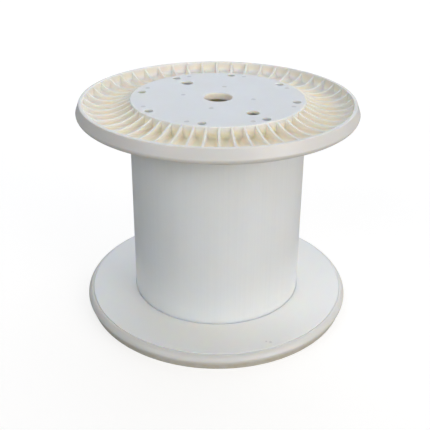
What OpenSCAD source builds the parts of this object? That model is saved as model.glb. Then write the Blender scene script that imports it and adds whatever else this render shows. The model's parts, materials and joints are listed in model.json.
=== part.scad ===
// Plastic delivery spool for wire and cable: two ribbed flanges on the ends of a plain tube.
// It stands on its lower flange, with its axis on Z and its drive holes on the X axis.

/* [Spool] */
// Height over both flanges
overall_height = 400; // [300:1:600]

/* [Flange] */
// Diameter of each flange
flange_diameter = 500; // [450:1:600]
// Thickness of a flange over its ribs
flange_thickness = 28; // [26:0.5:40]
// Thickness of the plate that faces the winding
plate_thickness = 7; // [6:0.5:9]
// Diameter of the flat disc in the middle of the outer face
disc_diameter = 310; // [300:1:340]
// Thickness of that disc
disc_thickness = 5; // [4:0.5:9]
// Thickness of the wall round the disc
disc_wall = 6; // [4:0.5:8]

/* [Rim] */
// Width of the rim band, from its inner wall to its outside
rim_width = 12; // [11:0.5:18]
// How far the outside of the rim leans in towards the outer face
rim_lean = 6; // [2:0.5:7]
// Round on the edge between that side and the outer face
rim_edge_round = 1.5; // [0.5:0.5:3]
// Round on the edge that faces the winding
rim_wire_round = 10.5; // [4:0.5:11]
// Height of the small step where that round starts
rim_step = 1; // [0.5:0.1:2]

/* [Ribs] */
// Number of radial ribs in the outer face
rib_count = 48; // [24:8:64]
// Thickness of a rib
rib_thickness = 4; // [2:0.5:6]
// How far the hollow rib tops dip below the outer face
rib_dip = 16; // [8:0.5:18]
// Drop of a rib top where it leaves the disc
rib_disc_drop = 1.5; // [0.5:0.5:5]
// Drop of a rib top where it meets the rim
rib_rim_drop = 2; // [0.5:0.5:5]

/* [Bore and holes] */
// Diameter of the bore for the shaft
bore_diameter = 50; // [30:0.5:64]
// Chamfer at the mouth of the bore
bore_chamfer = 1.5; // [0.5:0.5:3]
// Diameter of the hub round the bore
hub_diameter = 84; // [74:1:120]
// Depth of the hub and of the webs that run out from it
hub_depth = 12.5; // [10:0.5:20]
// Thickness of those webs
web_thickness = 5; // [3:0.5:8]
// Diameter of the drive holes
drive_hole_diameter = 22; // [16:0.5:28]
// Diameter of the circle that they lie on
drive_circle_diameter = 206; // [180:1:220]
// Number of bolt holes
bolt_count = 8; // [4:2:12]
// Diameter of the bolt holes
bolt_hole_diameter = 15; // [9:0.5:16]
// Diameter of the circle that they lie on
bolt_circle_diameter = 280; // [266:1:282]

/* [Barrel] */
// Outside diameter of the barrel tube
barrel_diameter = 315; // [312:0.5:330]
// Wall of the barrel tube
barrel_wall = 7.7; // [6:0.1:9]
// Depth of the groove that each end of the tube stands in
seat_depth = 4; // [2:0.5:5]
// Clearance on each side of the tube in its groove
seat_clearance = 0.3; // [0.2:0.1:0.6]
// Width of the lip inside the groove
seat_lip = 5; // [3:0.5:8]

/* [Hidden] */
$fn = 144;
plastic_white = [0.91, 0.9, 0.86];

// How far cuts run past the faces that they open
overrun = 1;
// How far ribs and webs run into the walls that carry them
bond = 1.5;
// Where the rib tops are lowest, from the disc to the rim
rib_low_share = 0.62;

flange_radius = flange_diameter / 2;
disc_radius = disc_diameter / 2;
rim_radius = flange_radius - rim_width;
pocket_floor = flange_thickness - plate_thickness;
step_radius = flange_radius - rim_wire_round;
bead_height = flange_thickness - rim_step;
rim_side_height = bead_height - rim_wire_round;
rim_edge_radius = flange_radius - rim_lean;
rim_side_angle = atan2(rim_side_height, rim_lean);
rim_edge_run = rim_edge_round * tan(rim_side_angle / 2);
hub_radius = hub_diameter / 2;
bore_radius = bore_diameter / 2;
rib_low_radius = disc_radius + rib_low_share * (rim_radius - disc_radius);
seat_inner_radius = barrel_diameter / 2 - barrel_wall - seat_clearance;
seat_outer_radius = barrel_diameter / 2 + seat_clearance;
seat_floor = flange_thickness - seat_depth;
drive_count = 2;

// Radius of the arc that rises by one length over another, starting level
function rising_arc(run, rise) = (run * run + rise * rise) / (2 * rise);

// Places copies round the axis, the first one on X
module ring_of(count, radius, turn = 0) {
    for (i = [0 : count - 1])
        rotate(turn + i * 360 / count)
            translate([radius, 0])
                children();
}

// Rectangle between two radii and two heights of a turned section
module band(inner_radius, outer_radius, bottom, top) {
    translate([inner_radius, bottom])
        square([outer_radius - inner_radius, top - bottom]);
}

// Section of the rim: an outside that leans in towards the outer face, and a large round towards the winding
module rim_section() {
    polygon([
        [rim_radius, 0],
        [rim_edge_radius - rim_edge_run, 0],
        [rim_edge_radius + rim_edge_run * cos(rim_side_angle), rim_edge_run * sin(rim_side_angle)],
        [flange_radius, rim_side_height],
        [step_radius, bead_height],
        [rim_radius, bead_height],
    ]);
    translate([rim_edge_radius - rim_edge_run, rim_edge_round])
        circle(rim_edge_round);
    intersection() {
        translate([step_radius, rim_side_height])
            circle(rim_wire_round);
        band(rim_radius, flange_radius + overrun, rim_side_height, bead_height);
    }
}

// Section of everything in a flange that is turned about the axis
module flange_section() {
    rim_section();
    band(seat_inner_radius - seat_lip, step_radius, pocket_floor, flange_thickness);
    band(disc_radius - disc_wall, disc_radius, 0, flange_thickness);
    band(0, disc_radius, 0, disc_thickness);
    band(0, hub_radius, 0, hub_depth);
}

// Hollow side of the rib tops between the disc and the rim, in two arcs that meet at the lowest place
module rib_hollow() {
    disc_arc = rising_arc(rib_low_radius - disc_radius, rib_dip - rib_disc_drop);
    rim_arc = rising_arc(rim_radius - rib_low_radius, rib_dip - rib_rim_drop);
    intersection() {
        translate([rib_low_radius, rib_dip - disc_arc])
            circle(disc_arc);
        band(disc_radius - bond, rib_low_radius, 0, flange_thickness);
    }
    intersection() {
        translate([rib_low_radius, rib_dip - rim_arc])
            circle(rim_arc);
        band(rib_low_radius, rim_radius + bond, 0, flange_thickness);
    }
}

// Radial ribs in the outer face, from the disc to the rim
module ribs() {
    intersection() {
        linear_extrude(flange_thickness)
            ring_of(rib_count, disc_radius - bond, 180 / rib_count)
                translate([0, -rib_thickness / 2])
                    square([rim_radius - disc_radius + 2 * bond, rib_thickness]);
        rotate_extrude()
            difference() {
                band(disc_radius - bond, rim_radius + bond, 0, pocket_floor + bond);
                rib_hollow();
            }
    }
}

// Webs behind the disc, from the hub to the wall, between the holes
module webs() {
    linear_extrude(hub_depth)
        ring_of(bolt_count, hub_radius - bond, 180 / bolt_count)
            translate([0, -web_thickness / 2])
                square([disc_radius - disc_wall - hub_radius + 2 * bond, web_thickness]);
}

// Groove in the winding face that takes the end of the barrel
module barrel_seat() {
    rotate_extrude()
        band(seat_inner_radius, seat_outer_radius, seat_floor, flange_thickness + overrun);
}

// Shaft bore with its chamfer, the drive holes and the bolt holes
module flange_holes() {
    rotate_extrude()
        polygon([
            [0, -overrun],
            [bore_radius + bore_chamfer + overrun, -overrun],
            [bore_radius, bore_chamfer],
            [bore_radius, flange_thickness + overrun],
            [0, flange_thickness + overrun],
        ]);
    translate([0, 0, -overrun])
        linear_extrude(flange_thickness + 2 * overrun) {
            ring_of(drive_count, drive_circle_diameter / 2)
                circle(d = drive_hole_diameter);
            ring_of(bolt_count, bolt_circle_diameter / 2)
                circle(d = bolt_hole_diameter);
        }
}

// One flange, with its outer face on the ground and its winding face up
module flange() {
    difference() {
        union() {
            rotate_extrude()
                flange_section();
            ribs();
            webs();
        }
        barrel_seat();
        flange_holes();
    }
}

module lower_flange() {
    color(plastic_white)
        flange();
}

module upper_flange() {
    color(plastic_white)
        translate([0, 0, overall_height])
            rotate([180, 0, 0])
                flange();
}

// Plain tube, standing in the grooves of both flanges
module barrel() {
    color(plastic_white)
        rotate_extrude()
            band(barrel_diameter / 2 - barrel_wall, barrel_diameter / 2, seat_floor, overall_height - seat_floor);
}

lower_flange();
barrel();
upper_flange();
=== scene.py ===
import json
import math

import bmesh
import bpy
import numpy as np
from mathutils import Matrix, Vector


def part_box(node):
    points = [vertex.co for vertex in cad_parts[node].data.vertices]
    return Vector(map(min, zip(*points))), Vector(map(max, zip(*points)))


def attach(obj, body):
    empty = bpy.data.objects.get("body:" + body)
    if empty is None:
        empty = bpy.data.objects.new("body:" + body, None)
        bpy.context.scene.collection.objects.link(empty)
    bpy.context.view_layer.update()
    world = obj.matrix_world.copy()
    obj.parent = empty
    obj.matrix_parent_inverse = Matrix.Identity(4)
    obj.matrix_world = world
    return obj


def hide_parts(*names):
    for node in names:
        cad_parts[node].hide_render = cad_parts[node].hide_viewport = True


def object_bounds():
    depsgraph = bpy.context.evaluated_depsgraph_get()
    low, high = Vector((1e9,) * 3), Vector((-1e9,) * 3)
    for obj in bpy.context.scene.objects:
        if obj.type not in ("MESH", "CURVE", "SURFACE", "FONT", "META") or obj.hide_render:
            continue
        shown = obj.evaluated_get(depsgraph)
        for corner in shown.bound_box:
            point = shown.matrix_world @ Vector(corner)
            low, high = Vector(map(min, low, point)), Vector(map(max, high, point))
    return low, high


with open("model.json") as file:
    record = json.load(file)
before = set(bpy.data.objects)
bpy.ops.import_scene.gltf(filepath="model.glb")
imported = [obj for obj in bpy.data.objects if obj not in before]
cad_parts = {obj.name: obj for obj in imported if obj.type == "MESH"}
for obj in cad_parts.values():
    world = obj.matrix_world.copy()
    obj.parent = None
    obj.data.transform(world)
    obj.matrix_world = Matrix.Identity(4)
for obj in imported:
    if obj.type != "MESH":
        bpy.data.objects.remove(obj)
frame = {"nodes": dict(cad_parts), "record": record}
cad_low, cad_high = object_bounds()

# Flanges
# Each flange is one injection moulding in natural off-white ABS: a flat disc with the shaft bore, the drive
# holes and the bolt holes, a ring of hollow-topped ribs round it, and a rounded rim.
# Both come from one mould, so the upper flange is the lower one turned over, with the barrel in its groove.
MM = 0.001
mounts = {mount["name"]: mount["dims"] for mount in frame["record"]["mounts"]}
_, flange_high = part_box("lower_flange")
barrel_low, barrel_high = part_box("barrel")
spool_height = cad_high.z

# Sizes in millimetres, with the outer face at height 0 and the winding face at the flange's thickness
flange_radius = flange_high.x / MM
flange_thickness = flange_high.z / MM
plate_thickness = 7.0
disc_radius = 155.0
disc_thickness = 5.0
disc_wall = 6.0
rim_width = 12.0
rim_lean = 6.0
rim_edge_round = 1.5
rim_wire_round = 10.5
rim_step = 1.0
rib_count = 48
rib_thickness = 4.0
rib_dip = 16.0
rib_disc_drop = 1.5
rib_rim_drop = 2.0
rib_low_share = 0.62
bore_radius = mounts["upper_bore"]["r_mm"]
hub_radius = 42.0
hub_depth = 12.5
bore_chamfer = hub_depth - mounts["upper_bore"]["length_mm"]
bolt_count = mounts["upper_bolt_holes"]["count"]
bolt_circle = mounts["upper_bolt_holes"]["pcd_mm"] / 2
bolt_radius = mounts["upper_bolt_holes"]["hole_r_mm"]
drive_count = mounts["upper_drive_holes"]["count"]
drive_circle = mounts["upper_drive_holes"]["pcd_mm"] / 2
drive_radius = mounts["upper_drive_holes"]["hole_r_mm"]
web_thickness = 5.0
barrel_wall = 7.7
seat_clearance = 0.3
seat_lip = 5.0
seat_floor = barrel_low.z / MM
seat_outer = barrel_high.x / MM + seat_clearance
seat_inner = seat_outer - barrel_wall - 2 * seat_clearance
rim_radius = flange_radius - rim_width
rib_low_radius = disc_radius + rib_low_share * (rim_radius - disc_radius)
pocket_floor = flange_thickness - plate_thickness
bead_height = flange_thickness - rim_step
step_radius = flange_radius - rim_wire_round

# Mould detail that is too small for the solids: soft edges, fillets and draft in the pockets, a fine groove
# at the foot of the rim's step, and ejector marks
edge_round = 0.8
floor_fillet = 6.0
pocket_draft = 0.35
small_edge = 0.4
step_groove = 1.0
ejector_radius = 4.5
ejector_depth = 0.45
inner_ejector_circle = 63.5
outer_ejector_circle = 139.0
outer_ejector_turn = 10.5

# Fineness of the mesh
hub_columns = 144
hole_corners = 48
mark_corners = 32
floor_rings = 14

# Insets of the mesh's columns and rings from a pocket's outline: over the soft edge and down the fillet.
# The columns in the middle of a pocket count as far away from both ribs.
quarter_turn = [math.radians(angle) for angle in (0, 30, 60, 90)]
wall_insets = [edge_round * (math.sin(a) - 1) for a in quarter_turn]
wall_insets += [pocket_draft + floor_fillet * (1 - math.cos(a)) for a in quarter_turn]
pocket_middle = 99.0
half_pitch = math.pi / rib_count


def column_angles(radius):
    """Angles of all columns of the ring at a radius: close on the rib flanks, wide on the pocket floors."""
    flank = [0.0] + [math.asin((rib_thickness / 2 + inset) / radius) for inset in wall_insets]
    floor = [flank[-1] + (half_pitch - flank[-1]) * share for share in (0.5, 1.0)]
    half = flank + floor
    sector = [-a for a in reversed(half[1:])] + half[:-1]
    centres = (np.arange(rib_count) + 0.5) * 2 * half_pitch
    return (centres[:, None] + np.array(sector)[None, :]).ravel()


def flank_insets():
    """How far each column lies inside a pocket's outline, measured from the nearest rib flank."""
    half = [-rib_thickness / 2] + wall_insets + [pocket_middle, pocket_middle]
    sector = list(reversed(half[1:])) + half[:-1]
    return np.tile(np.array(sector), rib_count)


def rib_top(radius):
    """Depth of the rib tops below the outer face: two arcs that meet at the lowest place."""
    towards_disc = radius < rib_low_radius
    run = rib_low_radius - disc_radius if towards_disc else rim_radius - rib_low_radius
    rise = rib_dip - (rib_disc_drop if towards_disc else rib_rim_drop)
    curve = (run**2 + rise**2) / (2 * rise)
    return rib_dip - curve + math.sqrt(curve**2 - (radius - rib_low_radius) ** 2)


def pocket_depth(inset, top):
    """Depth below the outer face at some inset from a pocket's outline, where the uncut face lies at top.

    Where the ribs are low, their rounded tops run straight into the fillet.
    """
    over = np.clip(inset + edge_round, 0, edge_round)
    rounded = top + edge_round - np.sqrt(edge_round**2 - over**2)
    run = np.clip(inset - pocket_draft, 0, floor_fillet)
    filleted = pocket_floor - floor_fillet + np.sqrt(floor_fillet**2 - (floor_fillet - run) ** 2)
    return np.where(inset < pocket_draft / 2, rounded, np.maximum(filleted, top + edge_round))


def pocket_rings():
    """Rings of points across the ribs and pockets, from the disc's edge to the rim's inner edge."""
    inner = [disc_radius + inset for inset in wall_insets]
    outer = [rim_radius - inset for inset in reversed(wall_insets)]
    between = list(np.linspace(inner[-1], outer[0], floor_rings))[1:-1]
    rings = []
    for radius in inner + between + outer:
        inset = min(radius - disc_radius, rim_radius - radius)
        ease = min(max((inset + edge_round) / (edge_round + pocket_draft), 0), 1)
        held = min(max(radius, disc_radius), rim_radius)
        depth = pocket_depth(np.minimum(flank_insets(), inset), rib_top(held) * ease**2)
        angle = column_angles(held)
        rings.append(np.stack([radius * np.cos(angle), radius * np.sin(angle), depth], axis=1))
    return rings


def arc(centre, radius, start, end, steps):
    """Points of an arc in a turned section; 0 degrees points away from the axis and 90 to the winding."""
    angles = [math.radians(start + (end - start) * i / steps) for i in range(steps + 1)]
    return [(centre[0] + radius * math.cos(a), centre[1] + radius * math.sin(a)) for a in angles]


def turned(section, angles):
    """Rings of points made by turning a section of (radius, height) points about the axis."""
    return [
        np.stack([r * np.cos(angles), r * np.sin(angles), np.full_like(angles, z)], axis=1)
        for r, z in section
    ]


def even_angles(count):
    """Angles of evenly spaced columns, the first one on the X axis."""
    return np.arange(count) * 2 * math.pi / count


def add_band(bm, rings):
    """Adds the surface through a list of rings with equal counts, and returns the rings' vertices."""
    loops = [[bm.verts.new(point * MM) for point in ring] for ring in rings]
    for low, high in zip(loops, loops[1:]):
        for i in range(len(low)):
            j = (i + 1) % len(low)
            bm.faces.new((low[i], low[j], high[j], high[i]))
    return loops


def fill_between(bm, *loops):
    """Fills the flat face that closed loops of vertices bound."""
    edges = [bm.edges.get((loop[i - 1], loop[i])) for loop in loops for i in range(len(loop))]
    bmesh.ops.triangle_fill(bm, edges=edges, use_beauty=True)


def rim_and_seat_section():
    """Section from the rim's land round the outside and over the winding face to the wall behind the disc."""
    wire_corner = (step_radius, bead_height - rim_wire_round)
    side_angle = math.atan2(wire_corner[1], rim_lean)
    edge_corner = (flange_radius - rim_lean - rim_edge_round * math.tan(side_angle / 2), rim_edge_round)
    groove_angle = math.degrees(math.acos(step_groove / rim_wire_round))
    groove_floor = bead_height - step_groove
    top = flange_thickness - small_edge
    lip_radius = seat_inner - seat_lip
    wall_radius = disc_radius - disc_wall
    return (
        arc(edge_corner, rim_edge_round, -90, math.degrees(side_angle) - 90, 5)
        + arc(wire_corner, rim_wire_round, 0, groove_angle, 9)
        + [(step_radius + step_groove / 2, groove_floor), (step_radius, groove_floor)]
        + arc((step_radius - small_edge, top), small_edge, 0, 90, 2)
        + arc((seat_outer + small_edge, top), small_edge, 90, 180, 2)
        + [(seat_outer, seat_floor), (seat_inner, seat_floor)]
        + arc((seat_inner - small_edge, top), small_edge, 0, 90, 2)
        + arc((lip_radius + small_edge, top), small_edge, 90, 180, 2)
        + [(lip_radius, pocket_floor), (wall_radius, pocket_floor), (wall_radius, disc_thickness)]
    )


def hub_section():
    """Section of the hub, from the bore's chamfer on the outer face to the hub's foot behind the disc."""
    top = hub_depth - small_edge
    mouth_radius = bore_radius + bore_chamfer
    return (
        [(mouth_radius + small_edge, 0), (mouth_radius - small_edge / 2, small_edge / 2)]
        + [(bore_radius + small_edge / 2, bore_chamfer - small_edge / 2)]
        + [(bore_radius, bore_chamfer + small_edge)]
        + arc((bore_radius + small_edge, top), small_edge, 180, 90, 2)
        + arc((hub_radius - small_edge, top), small_edge, 90, 0, 2)
        + [(hub_radius, disc_thickness)]
    )


def add_peg(bm, section, circle, angle, corners):
    """Adds a closed turned solid that stands on a circle about the axis, at an angle in degrees.

    Its corners lie half a step off the radial edges of the faces that it cuts, so that no sliver is left.
    """
    turn = math.radians(angle)
    place = np.array([circle * math.cos(turn), circle * math.sin(turn), 0.0])
    corner_angles = even_angles(corners) + math.pi / corners
    loops = add_band(bm, [ring + place for ring in turned(section, corner_angles)])
    bm.faces.new(list(reversed(loops[0])))
    bm.faces.new(loops[-1])


def new_object(name, bm):
    """Turns a finished bmesh into an object of the scene, with its faces outwards."""
    bmesh.ops.recalc_face_normals(bm, faces=bm.faces)
    mesh = bpy.data.meshes.new(name)
    bm.to_mesh(mesh)
    bm.free()
    made = bpy.data.objects.new(name, mesh)
    bpy.context.scene.collection.objects.link(made)
    return made


def combine(piece, tool_bm, operation):
    """Cuts the tool's solids from a piece or joins them to it, in the piece's own mesh."""
    tool = new_object("tool", tool_bm)
    boolean = piece.modifiers.new("combine", "BOOLEAN")
    boolean.operation = operation
    boolean.solver = "EXACT"
    boolean.object = tool
    graph = bpy.context.evaluated_depsgraph_get()
    mesh = bpy.data.meshes.new_from_object(piece.evaluated_get(graph))
    piece.modifiers.clear()
    piece.data = mesh
    bpy.data.objects.remove(tool)


def flange_body():
    """The turned and ribbed body of a flange, closed, before its webs and holes."""
    bm = bmesh.new()
    ring_columns = column_angles(rim_radius)
    ring_loops = add_band(bm, pocket_rings() + turned(rim_and_seat_section(), ring_columns))
    hub_loops = add_band(bm, turned(hub_section(), even_angles(hub_columns)))
    fill_between(bm, ring_loops[0], hub_loops[0])
    fill_between(bm, ring_loops[-1], hub_loops[-1])
    return new_object("lower_flange_moulding", bm)


def webs():
    """Webs behind the disc, from the hub to the wall, between the holes."""
    bm = bmesh.new()
    inner = hub_radius - 2 * small_edge
    outer = disc_radius - disc_wall + 2 * small_edge
    bottom = disc_thickness / 2
    top = hub_depth - small_edge
    size = ((outer - inner) * MM, web_thickness * MM, (top - bottom) * MM)
    centre = ((outer + inner) / 2 * MM, 0, (top + bottom) / 2 * MM)
    for i in range(bolt_count):
        place = Matrix.Rotation((i + 0.5) * 2 * math.pi / bolt_count, 4, "Z") @ Matrix.Translation(centre)
        bmesh.ops.create_cube(bm, size=1, matrix=place @ Matrix.Diagonal((*size, 1)))
    return bm


def holes_and_marks():
    """Cutters for the bolt and drive holes, with rounded mouths, and for the shallow ejector marks."""
    bm = bmesh.new()
    mouth = [math.radians(angle) for angle in (20, 45, 70, 90)]

    def hole(radius):
        rounded = [(radius + edge_round * (1 - math.sin(a)), edge_round * (1 - math.cos(a))) for a in mouth]
        return [(radius + edge_round, -edge_round)] + rounded + [(radius, flange_thickness + edge_round)]

    for i in range(bolt_count):
        add_peg(bm, hole(bolt_radius), bolt_circle, i * 360 / bolt_count, hole_corners)
    for i in range(drive_count):
        add_peg(bm, hole(drive_radius), drive_circle, i * 360 / drive_count, hole_corners)
    mark = [(ejector_radius + small_edge, -ejector_depth), (ejector_radius - small_edge / 2, ejector_depth)]
    for i in range(bolt_count):
        add_peg(bm, mark, outer_ejector_circle, i * 360 / bolt_count + outer_ejector_turn, mark_corners)
    for i in range(bolt_count // 2):
        add_peg(bm, mark, inner_ejector_circle, (i + 0.5) * 720 / bolt_count, mark_corners)
    return bm


def soften(piece):
    """Shades flat faces flat and rounded edges smooth."""
    sharp_angle = math.radians(38)
    piece.data.shade_smooth()
    piece.data.set_sharp_from_angle(angle=sharp_angle)
    weighted = piece.modifiers.new("weighted normals", "WEIGHTED_NORMAL")
    weighted.keep_sharp = True
    weighted.weight = 80


lower_flange = flange_body()
combine(lower_flange, webs(), "UNION")
combine(lower_flange, holes_and_marks(), "DIFFERENCE")
upper_flange = bpy.data.objects.new("upper_flange_moulding", lower_flange.data)
bpy.context.scene.collection.objects.link(upper_flange)
upper_flange.matrix_world = Matrix.Translation((0, 0, spool_height)) @ Matrix.Rotation(math.pi, 4, "X")


def linear(hex_colour):
    """Linear colour of an sRGB hex value."""
    shares = [int(hex_colour[i : i + 2], 16) / 255 for i in (1, 3, 5)]
    return [s / 12.92 if s <= 0.04045 else ((s + 0.055) / 1.055) ** 2.4 for s in shares] + [1.0]


def add(tree, kind, inputs=None, **settings):
    """Adds a node with its settings; each input is a value or another node's output."""
    made = tree.nodes.new(kind)
    for name, value in settings.items():
        setattr(made, name, value)
    for socket, value in (inputs or {}).items():
        if isinstance(value, bpy.types.NodeSocket):
            tree.links.new(value, made.inputs[socket])
        else:
            made.inputs[socket].default_value = value
    return made


def new_material(name):
    """A material with an empty node tree, and its shader joined to its output."""
    material = bpy.data.materials.new(name)
    material.use_nodes = True
    tree = material.node_tree
    tree.nodes.clear()
    shader = add(tree, "ShaderNodeBsdfPrincipled")
    add(tree, "ShaderNodeOutputMaterial", {"Surface": shader.outputs["BSDF"]})
    return material, tree, shader


# Natural ABS, moulded in a smooth steel mould: a warm off-white with a satin gloss, faint clouds where the
# melt flowed and an orange peel in the highlights. The real peel is about 1 mm wide, and is drawn at 4 mm to
# show. Light goes a few millimetres into it and comes back warmer. On top of that, the pockets, the thin top
# of the rim's wall and the walls of the larger holes are painted warmer, as painted light for light bounced
# about and passed through the plastic. The winding face is painted whiter, as painted light. The rims that
# the spool rolls on are painted darker, partly as scuffs and partly as painted shade on the bright bead. The
# floors of the ejector marks are darker, the lower flange's foot is darker and browner towards the floor in
# blotches, and two small specks lie on the winding face.
cloud_width = 70 * MM
handling_width = 25 * MM
peel_width = 4 * MM
peel_height = 0.1 * MM
light_reach = 8 * MM
warm_from_depth = 2 * MM
warm_at_depth = 14 * MM
thin_rim_depth = 4 * MM
scuff_blend = 5 * MM
foot_blotch_width = 14 * MM
foot_darkening_top = 17 * MM
foot_darkening_full = 9 * MM
specks = (((223.6, -39.9), 3.6), ((218.1, -44.8), 2.6))
speck_core_share = 0.3
speck_strength = 0.24

moulded_abs, tree, shader = new_material("moulded_abs")
in_flange = add(tree, "ShaderNodeTexCoord").outputs["Object"]
place = add(tree, "ShaderNodeTexCoord", object=lower_flange).outputs["Object"]
clouds = add(
    tree, "ShaderNodeTexNoise", {"Vector": place, "Scale": 1 / cloud_width, "Detail": 3.0}
).outputs["Fac"]
colour = add(
    tree, "ShaderNodeMix", {0: clouds, 6: linear("#E0DCCE"), 7: linear("#E8E6DC")}, data_type="RGBA"
).outputs[2]

# Depth of a place below its own flange's outer face, and its distance from the axis
along_x, along_y, depth = add(tree, "ShaderNodeSeparateXYZ", {"Vector": in_flange}).outputs
level = add(
    tree, "ShaderNodeVectorMath", {0: in_flange, 1: (1, 1, 0)}, operation="MULTIPLY"
).outputs["Vector"]
radius = add(tree, "ShaderNodeVectorMath", {0: level}, operation="LENGTH").outputs["Value"]

# Painted light in the pockets: warmth painted for light bounced about in them and passed through the plastic;
# it grows with depth and is less on the flanks of the ribs
pocket_reach = (rim_radius - disc_radius) / 2
in_ring = add(
    tree,
    "ShaderNodeMath",
    {0: radius, 1: (disc_radius + pocket_reach) * MM, 2: (pocket_reach + pocket_draft) * MM},
    operation="COMPARE",
).outputs["Value"]
open_side = add(
    tree, "ShaderNodeMath", {0: depth, 1: (pocket_floor + edge_round) * MM}, operation="LESS_THAN"
).outputs["Value"]
open_ring = add(tree, "ShaderNodeMath", {0: in_ring, 1: open_side}, operation="MULTIPLY").outputs["Value"]
sunk = add(
    tree,
    "ShaderNodeMapRange",
    {"Value": depth, "From Min": warm_from_depth, "From Max": warm_at_depth, "To Max": open_ring},
    interpolation_type="SMOOTHSTEP",
).outputs["Result"]
bearing = add(tree, "ShaderNodeMath", {0: along_y, 1: along_x}, operation="ARCTAN2").outputs["Value"]
off_middle = add(tree, "ShaderNodeMath", {0: bearing, 1: half_pitch}, operation="PINGPONG").outputs["Value"]
to_rib = add(tree, "ShaderNodeMath", {0: half_pitch, 1: off_middle}, operation="SUBTRACT").outputs["Value"]
off_rib = add(tree, "ShaderNodeMath", {0: to_rib, 1: radius}, operation="MULTIPLY").outputs["Value"]
rib_flank = rib_thickness / 2 * MM
beside_rib = add(
    tree,
    "ShaderNodeMapRange",
    {"Value": off_rib, "From Min": rib_flank, "From Max": rib_flank + floor_fillet / 2 * MM, "To Min": 0.2},
).outputs["Result"]
in_pocket = add(tree, "ShaderNodeMath", {0: sunk, 1: beside_rib}, operation="MULTIPLY").outputs["Value"]
towards_rim = add(
    tree,
    "ShaderNodeMapRange",
    {"Value": radius, "From Min": rib_low_radius * MM, "From Max": (rim_radius - floor_fillet) * MM},
).outputs["Result"]
painted_warm_light = add(
    tree, "ShaderNodeMix", {0: towards_rim, 6: linear("#FAEBCB"), 7: linear("#F1EDE2")}, data_type="RGBA"
).outputs[2]

# Painted light: warmth painted where light comes through the thin top of the rim's wall
on_rim_wall = add(
    tree, "ShaderNodeMath", {0: radius, 1: rim_radius * MM, 2: edge_round * MM}, operation="COMPARE"
).outputs["Value"]
fillet_top = (pocket_floor - floor_fillet) * MM
through_rim = add(
    tree,
    "ShaderNodeMapRange",
    {"Value": depth, "From Min": fillet_top, "From Max": thin_rim_depth, "To Max": on_rim_wall},
).outputs["Result"]
painted_warm_light = add(
    tree, "ShaderNodeMix", {0: through_rim, 6: painted_warm_light, 7: linear("#F2E2BC")}, data_type="RGBA"
).outputs[2]
colour = add(tree, "ShaderNodeMix", {0: in_pocket, 6: colour, 7: painted_warm_light}, data_type="RGBA").outputs[2]

# Painted light: the walls of the bore and the drive holes, which lie inside the circle of bolt holes, are
# painted warmer and lighter
inside_bolts = add(
    tree, "ShaderNodeMath", {0: radius, 1: (bolt_circle - 2 * bolt_radius) * MM}, operation="LESS_THAN"
).outputs["Value"]
below_face = add(
    tree, "ShaderNodeMath", {0: depth, 1: 2 * ejector_depth * MM}, operation="GREATER_THAN"
).outputs["Value"]
in_hole = add(
    tree, "ShaderNodeMath", {0: inside_bolts, 1: below_face}, operation="MULTIPLY"
).outputs["Value"]
colour = add(
    tree, "ShaderNodeMix", {0: in_hole, 6: colour, 7: linear("#F8EBD4")}, data_type="RGBA"
).outputs[2]

# Darker floors in the ejector marks
on_disc = add(
    tree, "ShaderNodeMath", {0: radius, 1: (disc_radius - 2 * edge_round) * MM}, operation="LESS_THAN"
).outputs["Value"]
at_mark_floor = add(
    tree, "ShaderNodeMath", {0: depth, 1: ejector_depth * MM, 2: ejector_depth / 4 * MM}, operation="COMPARE"
).outputs["Value"]
darker_mark_floor = add(tree, "ShaderNodeMath", {0: on_disc, 1: at_mark_floor}, operation="MULTIPLY").outputs["Value"]
colour = add(
    tree, "ShaderNodeMix", {0: darker_mark_floor, 6: colour, 7: linear("#CDC9BD")}, data_type="RGBA"
).outputs[2]

# Darker rims, partly scuffs and partly painted shade on the bright bead, and winding faces painted whiter as
# painted light
on_rim = add(
    tree,
    "ShaderNodeMapRange",
    {"Value": radius, "From Min": step_radius * MM, "From Max": step_radius * MM + scuff_blend},
    interpolation_type="SMOOTHSTEP",
).outputs["Result"]
colour = add(
    tree, "ShaderNodeMix", {0: on_rim, 6: colour, 7: linear("#DAD6C9")}, data_type="RGBA"
).outputs[2]
on_winding_face = add(
    tree,
    "ShaderNodeMapRange",
    {"Value": depth, "From Min": bead_height * MM, "From Max": flange_thickness * MM},
).outputs["Result"]
colour = add(
    tree, "ShaderNodeMix", {0: on_winding_face, 6: colour, 7: linear("#F3EFE3")}, data_type="RGBA"
).outputs[2]

# The lower flange's foot, darker and browner towards the floor in blotches, and the two specks
height = add(tree, "ShaderNodeSeparateXYZ", {"Vector": place}).outputs["Z"]
foot_blotches = add(
    tree, "ShaderNodeTexNoise", {"Vector": place, "Scale": 1 / foot_blotch_width, "Detail": 5.0, "Roughness": 0.6}
).outputs["Fac"]
foot_darkening = add(
    tree,
    "ShaderNodeMapRange",
    {"Value": height, "From Min": foot_darkening_top, "From Max": foot_darkening_full, "To Max": foot_blotches},
    interpolation_type="SMOOTHSTEP",
).outputs["Result"]
colour = add(
    tree, "ShaderNodeMix", {0: foot_darkening, 6: colour, 7: linear("#C0B494")}, data_type="RGBA"
).outputs[2]
for (speck_x, speck_y), speck_radius in specks:
    speck = (speck_x * MM, speck_y * MM, flange_thickness * MM)
    speck_edge = speck_radius * MM
    away = add(tree, "ShaderNodeVectorMath", {0: place, 1: speck}, operation="DISTANCE").outputs["Value"]
    spot = add(
        tree,
        "ShaderNodeMapRange",
        {
            "Value": away,
            "From Min": speck_edge,
            "From Max": speck_core_share * speck_edge,
            "To Max": speck_strength,
        },
    ).outputs["Result"]
    colour = add(
        tree, "ShaderNodeMix", {0: spot, 6: colour, 7: linear("#6E6A60")}, data_type="RGBA"
    ).outputs[2]

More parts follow.
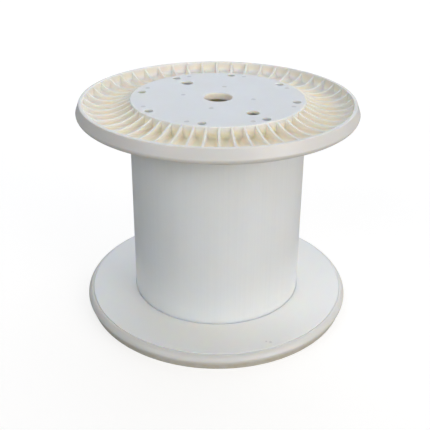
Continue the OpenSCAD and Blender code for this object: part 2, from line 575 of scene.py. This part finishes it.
# Gloss that handling has made uneven, and the orange peel
handling = add(
    tree, "ShaderNodeTexNoise", {"Vector": place, "Scale": 1 / handling_width, "Detail": 4.0}
).outputs["Fac"]
roughness = add(
    tree, "ShaderNodeMapRange", {"Value": handling, "To Min": 0.34, "To Max": 0.46}
).outputs["Result"]
peel = add(
    tree, "ShaderNodeTexNoise", {"Vector": place, "Scale": 1 / peel_width, "Detail": 1.0}
).outputs["Fac"]
peel_bump = add(
    tree, "ShaderNodeBump", {"Height": peel, "Strength": 0.25, "Distance": peel_height}
).outputs["Normal"]
tree.links.new(colour, shader.inputs["Base Color"])
tree.links.new(roughness, shader.inputs["Roughness"])
tree.links.new(peel_bump, shader.inputs["Normal"])
shader.inputs["IOR"].default_value = 1.53
shader.inputs["Subsurface Weight"].default_value = 0.8
shader.inputs["Subsurface Radius"].default_value = (1.0, 0.75, 0.45)
shader.inputs["Subsurface Scale"].default_value = light_reach
for flange, node in ((lower_flange, "lower_flange"), (upper_flange, "upper_flange")):
    soften(flange)
    flange.data.materials.clear()
    flange.data.materials.append(moulded_abs)
    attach(flange, "root")
    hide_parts(node)

# Barrel
# The barrel is a plain tube of off-white ABS, extruded and sawn to length. It stands in the groove of each
# flange, and it is the CAD solid with a material of its own.
barrel = frame["nodes"]["barrel"]

# Natural ABS, extruded: a satin off-white with faint draw lines along the tube from the die. The real lines
# are finer than a millimetre, and are drawn 3 mm wide to show. Light passes through the wall, so the inside
# isn't black.
draw_line_width = 3 * MM
draw_line_height = 0.1 * MM
draw_line_stretch = 0.008
cloud_width = 90 * MM
light_reach = 20 * MM

extruded_abs, tree, shader = new_material("extruded_abs")
place = add(tree, "ShaderNodeTexCoord").outputs["Object"]
along = add(
    tree, "ShaderNodeVectorMath", {0: place, 1: (1, 1, draw_line_stretch)}, operation="MULTIPLY"
).outputs["Vector"]
draw_lines = add(
    tree, "ShaderNodeTexNoise", {"Vector": along, "Scale": 1 / draw_line_width, "Detail": 2.0}
).outputs["Fac"]
clouds = add(
    tree, "ShaderNodeTexNoise", {"Vector": place, "Scale": 1 / cloud_width, "Detail": 3.0}
).outputs["Fac"]
clouded = add(
    tree, "ShaderNodeMix", {0: clouds, 6: linear("#EAE5D6"), 7: linear("#F0ECE0")}, data_type="RGBA"
).outputs[2]
lined = add(
    tree, "ShaderNodeMapRange", {"Value": draw_lines, "From Min": 0.3, "From Max": 0.7, "To Max": 0.12}
).outputs["Result"]
colour = add(
    tree, "ShaderNodeMix", {0: lined, 6: clouded, 7: linear("#D9D4C6")}, data_type="RGBA"
).outputs[2]
roughness = add(
    tree, "ShaderNodeMapRange", {"Value": draw_lines, "To Min": 0.28, "To Max": 0.44}
).outputs["Result"]
line_bump = add(
    tree, "ShaderNodeBump", {"Height": draw_lines, "Strength": 0.2, "Distance": draw_line_height}
).outputs["Normal"]
tree.links.new(colour, shader.inputs["Base Color"])
tree.links.new(roughness, shader.inputs["Roughness"])
tree.links.new(line_bump, shader.inputs["Normal"])
shader.inputs["IOR"].default_value = 1.53
shader.inputs["Subsurface Weight"].default_value = 1.0
shader.inputs["Subsurface Radius"].default_value = (1.0, 0.85, 0.65)
shader.inputs["Subsurface Scale"].default_value = light_reach
barrel.data.materials.clear()
barrel.data.materials.append(extruded_abs)

# Floor
# A plain white floor, wide enough to fill the view behind the spool. It looks brighter than it lights: only
# a little of its light comes back up, as from the shop floor that the spool stood on.
floor_size = 30.0
floor_glow = 0.75
floor_bm = bmesh.new()
bmesh.ops.create_grid(floor_bm, x_segments=1, y_segments=1, size=floor_size / 2)
floor = new_object("floor", floor_bm)
pale_floor, tree, shader = new_material("pale_floor")
shader.inputs["Base Color"].default_value = linear("#979287")
shader.inputs["Roughness"].default_value = 0.7
seen = add(tree, "ShaderNodeLightPath").outputs["Is Camera Ray"]
seen_glow = add(tree, "ShaderNodeMath", {0: seen, 1: floor_glow}, operation="MULTIPLY").outputs["Value"]
shader.inputs["Emission Color"].default_value = linear("#FFFFFF")
tree.links.new(seen_glow, shader.inputs["Emission Strength"])
floor.data.materials.append(pale_floor)

# Studio light
# Soft daylight: a low key lamp to the right of the view, a fill to the left of it and a weak one in front,
# and broad, bluer ones beside and behind the spool. The air behind the floor looks white too.
view_azimuth = math.radians(55.5)
air_glow = 1.0
air_light = 0.02
world = bpy.data.worlds.new("studio")
world.use_nodes = True
bpy.context.scene.world = world
air = world.node_tree
background = air.nodes["Background"]
background.inputs["Color"].default_value = linear("#F4F7FF")
seen = add(air, "ShaderNodeLightPath").outputs["Is Camera Ray"]
brightness = add(
    air, "ShaderNodeMath", {0: seen, 1: air_glow, 2: air_light}, operation="MULTIPLY_ADD"
).outputs["Value"]
air.links.new(brightness, background.inputs["Strength"])


def add_lamp(name, turn, elevation, spread, strength, colour):
    """A distant soft lamp; turn, elevation and spread are in degrees, turn to the right of the view."""
    lamp = bpy.data.lights.new(name, "SUN")
    lamp.angle = math.radians(spread)
    lamp.energy = strength
    lamp.color = linear(colour)[:3]
    made = bpy.data.objects.new(name, lamp)
    azimuth = view_azimuth + math.radians(turn)
    level = math.cos(math.radians(elevation))
    rise = math.sin(math.radians(elevation))
    towards = Vector((math.sin(azimuth) * level, -math.cos(azimuth) * level, rise))
    made.rotation_euler = towards.to_track_quat("Z", "Y").to_euler()
    bpy.context.scene.collection.objects.link(made)


add_lamp("key", 45, 10, 40, 1.74, "#FEFAFF")
add_lamp("front", 0, 30, 40, 0.57, "#E5EDFF")
add_lamp("fill", -45, 30, 40, 1.11, "#E5EDFF")
add_lamp("side", 90, 30, 100, 1.36, "#E5EDFF")
add_lamp("back", 180, 37, 80, 1.71, "#E5EDFF")

# Camera
# It stands where the photograph was taken from, with its axis above the middle of the frame.
focal_pixels = 696.6
frame_pixels = 430
axis_above_centre = 45
camera_distance = 1.182
camera_height = 0.778
pitch = math.radians(23.73)
yaw = math.radians(-0.21)
roll = math.radians(0.42)
camera = bpy.data.objects.new("camera", bpy.data.cameras.new("camera"))
camera.data.lens = camera.data.sensor_width * focal_pixels / frame_pixels
camera.data.shift_y = -axis_above_centre / frame_pixels
stand = Matrix.Rotation(view_azimuth, 4, "Z") @ Matrix.Translation((0, -camera_distance, camera_height))
tilt = Matrix.Rotation(math.pi / 2 - pitch, 4, "X") @ Matrix.Rotation(roll, 4, "Z")
camera.matrix_world = stand @ Matrix.Rotation(-yaw, 4, "Z") @ tilt
bpy.context.scene.collection.objects.link(camera)
bpy.context.scene.camera = camera
bpy.context.scene.view_settings.view_transform = "Standard"
